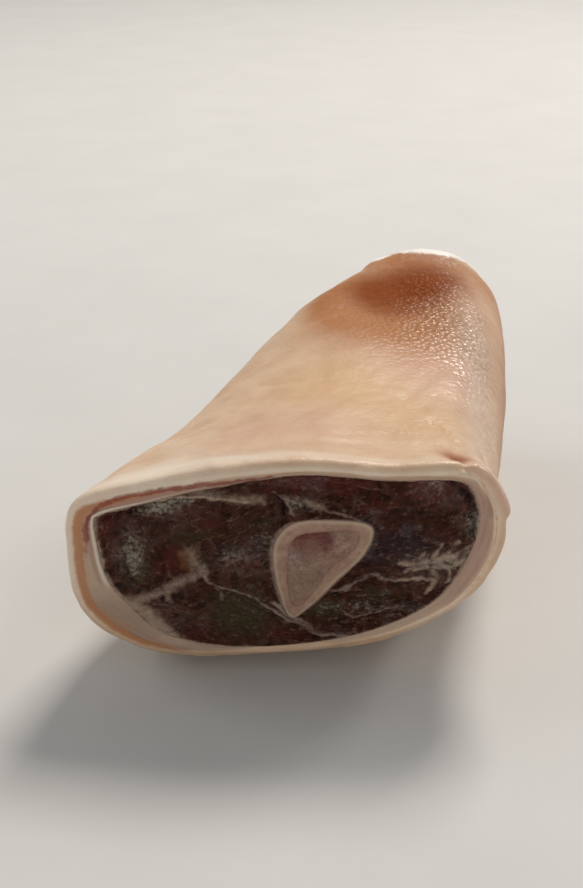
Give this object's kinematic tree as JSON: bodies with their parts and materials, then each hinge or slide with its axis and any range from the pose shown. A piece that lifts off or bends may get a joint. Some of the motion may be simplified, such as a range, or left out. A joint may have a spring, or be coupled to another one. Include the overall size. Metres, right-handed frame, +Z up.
{
  "type": "pork hock",
  "caption": "Raw pork hock, a short sawn length of hind shank lying on its side, with rind, fat, lean meat, shin bone and marrow showing at the cuts.",
  "frame": {"origin": "bottom centre of the hock's box, on the surface it lies on", "axes": "+Z up from the surface, +Y along the leg from the wide knee cut to the narrow ankle cut, +X to the side that the ankle leans to"},
  "size_m": [0.1512, 0.1956, 0.0795],
  "materials": {
    "rind": "raw pork skin with the fat under it, pale beige to tan, moist and slightly shiny, fine pores",
    "lean_meat": "sawn raw lean meat, dark brown-red and wet, with pale seams of fat and gristle",
    "shin_bone": "sawn hard bone, beige-pink, matt and damp",
    "marrow": "spongy bone filled with marrow, pinkish red, damp"
  },
  "bodies": {
    "root": {"rind": "rind", "lean_meat": "lean_meat", "shin_bone": "shin_bone", "marrow": "marrow"}
  },
  "joints": []
}
